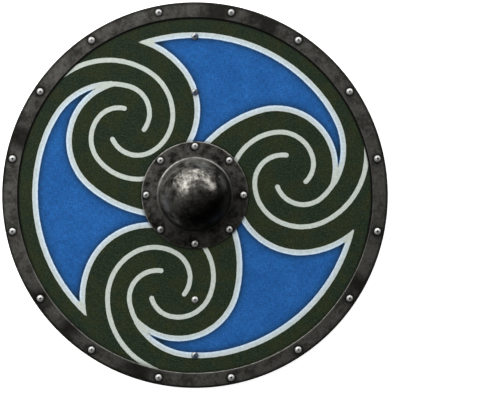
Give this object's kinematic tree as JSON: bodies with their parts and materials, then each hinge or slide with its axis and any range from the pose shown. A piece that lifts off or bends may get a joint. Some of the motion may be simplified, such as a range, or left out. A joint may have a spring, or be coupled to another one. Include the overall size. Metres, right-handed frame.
{
  "type": "round shield",
  "caption": "Flat round wooden shield with a folded steel rim, a domed steel boss over the hand hole, painted spirals, and a grip bar riveted across the back.",
  "frame": {"origin": "the middle of the grip bar's back, on the surface that the shield lies on", "axes": "+Z out of the painted face and along the boss, +Y up along the grip bar when the shield is held upright, +X to the right as the face is seen"},
  "size_m": [0.61, 0.61, 0.0802],
  "materials": {
    "painted_board": "matte",
    "bare_wood": "satin",
    "rim_steel": "satin",
    "boss_steel": "satin",
    "rivet_steel": "polished"
  },
  "bodies": {
    "root": {"board": "painted_board", "rim": "rim_steel", "boss": "boss_steel", "grip_bar": "bare_wood", "rim_rivet_01": "rivet_steel", "rim_rivet_02": "rivet_steel", "rim_rivet_03": "rivet_steel", "rim_rivet_04": "rivet_steel", "rim_rivet_05": "rivet_steel", "rim_rivet_06": "rivet_steel", "rim_rivet_07": "rivet_steel", "rim_rivet_08": "rivet_steel", "rim_rivet_09": "rivet_steel", "rim_rivet_10": "rivet_steel", "rim_rivet_11": "rivet_steel", "rim_rivet_12": "rivet_steel", "rim_rivet_13": "rivet_steel", "rim_rivet_14": "rivet_steel", "rim_rivet_15": "rivet_steel", "rim_rivet_16": "rivet_steel", "boss_rivet_01": "rivet_steel", "boss_rivet_02": "rivet_steel", "boss_rivet_03": "rivet_steel", "boss_rivet_04": "rivet_steel", "boss_rivet_05": "rivet_steel", "boss_rivet_06": "rivet_steel", "boss_rivet_07": "rivet_steel", "boss_rivet_08": "rivet_steel", "grip_rivet_01": "rivet_steel", "grip_rivet_02": "rivet_steel", "grip_rivet_03": "rivet_steel", "grip_rivet_04": "rivet_steel"}
  },
  "joints": []
}
